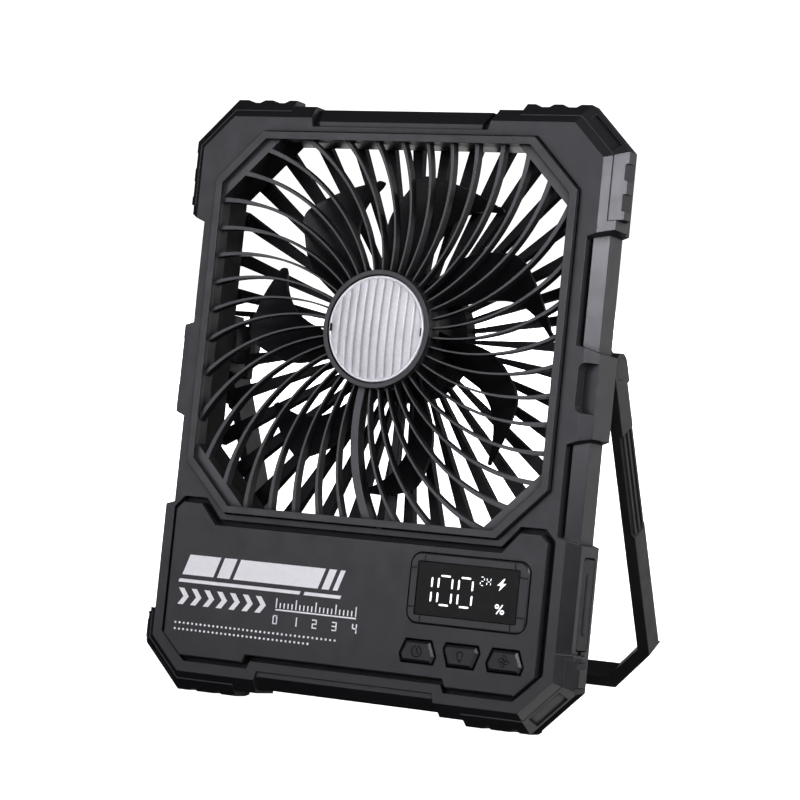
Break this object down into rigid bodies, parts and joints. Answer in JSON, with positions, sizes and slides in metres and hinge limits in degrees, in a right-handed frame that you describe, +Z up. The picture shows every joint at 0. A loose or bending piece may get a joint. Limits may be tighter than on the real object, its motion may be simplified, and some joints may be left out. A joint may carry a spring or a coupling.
{
  "type": "foldable desk fan",
  "caption": "Octagonal rechargeable desk fan with swirl-rib grille, hub lamp, display and button panel, rubber corner guards and a U-shaped stand that folds flat or swings over as a handle.",
  "frame": {"origin": "bottom centre of the whole object standing on its feet with the stand open", "axes": "+Z up, +X to the right seen from the front, +Y from the front towards the back; the body leans back 12 degrees"},
  "size_m": [0.1996, 0.1153, 0.2456],
  "materials": {
    "shell_plastic": "fine matte texture, charcoal",
    "grille_plastic": "fine matte, charcoal",
    "rear_plastic": "matte black",
    "guard_rubber": "soft matte charcoal",
    "stand_plastic": "satin near-black",
    "button_plastic": "matte charcoal, raised icon",
    "cover_rubber": "matte charcoal",
    "fan_plastic": "satin black",
    "lens_plastic": "frosted, fluted",
    "window_plastic": "smoked, glossy",
    "reflector_plastic": "white",
    "led_plastic": "phosphor yellow",
    "board_laminate": "green solder mask",
    "lamp_aluminium": "white mask on metal core",
    "cell_can": "blue shrink sleeve",
    "cradle_plastic": "black",
    "wire_rubber": "black insulation",
    "bright_steel": "plain bright",
    "dark_steel": "black zinc",
    "stator_steel": "laminated",
    "magnet_ferrite": "sintered",
    "coil_copper": "enamelled copper wire",
    "tube_brass": "turned"
  },
  "bodies": {
    "body": {"front_housing": "shell_plastic", "control_panel": "shell_plastic", "display_bezel": "shell_plastic", "front_grille": "grille_plastic", "air_duct": "grille_plastic", "rear_housing": "rear_plastic", "rear_grille": "rear_plastic", "guard_top_right": "guard_rubber", "guard_top_left": "guard_rubber", "guard_bottom_right": "guard_rubber", "guard_bottom_left": "guard_rubber", "lamp_lens": "lens_plastic", "display_window": "window_plastic", "lamp_reflector": "reflector_plastic", "display_module": "reflector_plastic", "lamp_leds": "led_plastic", "main_board": "board_laminate", "port_board": "board_laminate", "motor_board": "board_laminate", "lamp_board": "lamp_aluminium", "battery_cells": "cell_can", "battery_cradle": "cradle_plastic", "tact_switches": "cradle_plastic", "lamp_wire": "wire_rubber", "motor_wires": "wire_rubber", "usb_a_socket": "bright_steel", "usb_c_socket": "bright_steel", "bearings": "bright_steel", "housing_screws": "dark_steel", "board_screws": "dark_steel", "port_screws": "dark_steel", "motor_screws": "dark_steel", "motor_stator": "stator_steel", "motor_coils": "coil_copper", "bearing_tube": "tube_brass", "hinge_bushes": "tube_brass"},
    "stand": {"stand_bail": "stand_plastic", "hinge_pins": "bright_steel", "hinge_caps": "stand_plastic"},
    "fan": {"impeller": "fan_plastic", "rotor_cup": "bright_steel", "rotor_magnet": "magnet_ferrite", "motor_shaft": "bright_steel"},
    "timer_button": {"timer_button": "button_plastic"},
    "lamp_button": {"lamp_button": "button_plastic"},
    "fan_button": {"fan_button": "button_plastic"},
    "port_cover": {"port_cover": "cover_rubber"}
  },
  "joints": [
    {"name": "stand_hinge", "type": "hinge", "parent": "body", "child": "stand", "pos_m": [0, 0.00696, 0.14024], "axis": [1, 0, 0], "range_deg": [-29.8, 150.2]},
    {"name": "fan_spin", "type": "hinge", "parent": "body", "child": "fan", "pos_m": [0, -0.01066, 0.15114], "axis": [0, 0.9781, -0.2079], "continuous": true},
    {"name": "timer_button_press", "type": "slide", "parent": "body", "child": "timer_button", "axis": [0, 0.9781, -0.2079], "range_m": [0, 0.0008], "stiffness_N_per_m": 1500},
    {"name": "lamp_button_press", "type": "slide", "parent": "body", "child": "lamp_button", "axis": [0, 0.9781, -0.2079], "range_m": [0, 0.0008], "stiffness_N_per_m": 1500},
    {"name": "fan_button_press", "type": "slide", "parent": "body", "child": "fan_button", "axis": [0, 0.9781, -0.2079], "range_m": [0, 0.0008], "stiffness_N_per_m": 1500},
    {"name": "port_cover_hinge", "type": "hinge", "parent": "body", "child": "port_cover", "pos_m": [0.09525, -0.03056, 0.06836], "axis": [0, -0.9781, 0.2079], "range_deg": [0, 100]}
  ]
}
